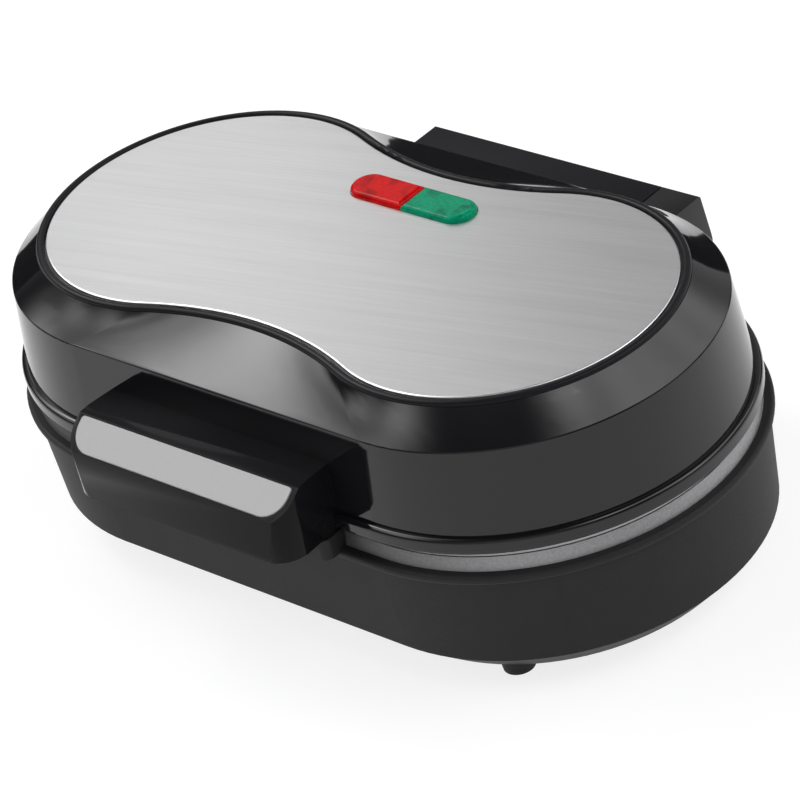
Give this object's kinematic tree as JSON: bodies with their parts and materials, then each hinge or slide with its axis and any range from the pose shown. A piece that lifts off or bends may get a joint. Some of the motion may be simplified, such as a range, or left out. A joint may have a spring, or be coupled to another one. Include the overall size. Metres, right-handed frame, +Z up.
{
  "type": "electric burger maker",
  "caption": "Countertop cooker with round wells side by side: a hinged glossy lid with a lobed brushed steel top, front handle and indicator lens, on a matte base with rubber feet",
  "frame": {"origin": "on the table, under the middle of the closed cooker", "axes": "+X to the right of someone facing the handle, +Y towards the hinge at the back, +Z up"},
  "size_m": [0.2722, 0.1922, 0.1006],
  "materials": {
    "gloss_black": "high gloss",
    "satin_black": "satin",
    "matte_black": "fine matte grain",
    "brushed_steel": "brushed along the length",
    "silver_trim": "satin silver",
    "red_lens": "clear moulded",
    "green_lens": "clear moulded",
    "cast_plate": "rough cast with a dark non-stick coat",
    "heater_sheath": "satin",
    "sheet_steel": "mill finish",
    "plain_steel": "zinc plated",
    "pale_moulding": "plain",
    "lamp_glass": "clear",
    "lead_sleeve": "woven sleeve",
    "soft_rubber": "matte"
  },
  "bodies": {
    "base": {"back_left_foot": "soft_rubber", "back_right_foot": "soft_rubber", "bottom_cover": "matte_black", "bracket_screws": "plain_steel", "cord_gland": "soft_rubber", "cover_screws": "plain_steel", "front_left_foot": "soft_rubber", "front_right_foot": "soft_rubber", "fuse_strap": "sheet_steel", "hinge_bracket": "matte_black", "left_base_lead": "lead_sleeve", "lower_heat_shield": "sheet_steel", "lower_heater": "heater_sheath", "lower_housing": "matte_black", "lower_plate": "cast_plate", "lower_screws": "plain_steel", "right_base_lead": "lead_sleeve", "terminal_block": "pale_moulding", "thermal_fuse": "pale_moulding", "thermostat": "plain_steel"},
    "lid": {"lid_shell": "gloss_black", "bead_ring": "satin_black", "top_plate": "brushed_steel", "lens_red": "red_lens", "lens_green": "green_lens", "lamp_holder": "pale_moulding", "holder_screws": "plain_steel", "red_lamp": "lamp_glass", "green_lamp": "lamp_glass", "handle": "gloss_black", "handle_trim": "silver_trim", "handle_screws": "plain_steel", "hinge_block": "satin_black", "hinge_block_screws": "plain_steel", "hinge_cap": "gloss_black", "hinge_pin": "plain_steel", "upper_plate": "cast_plate", "upper_screws": "plain_steel", "upper_heater": "heater_sheath", "upper_heat_shield": "sheet_steel", "left_lid_lead": "lead_sleeve", "right_lid_lead": "lead_sleeve"}
  },
  "joints": [
    {"name": "lid_hinge", "type": "hinge", "parent": "base", "child": "lid", "pos_m": [0, 0.086, 0.06], "axis": [-1, 0, 0], "range_deg": [0, 105]}
  ]
}
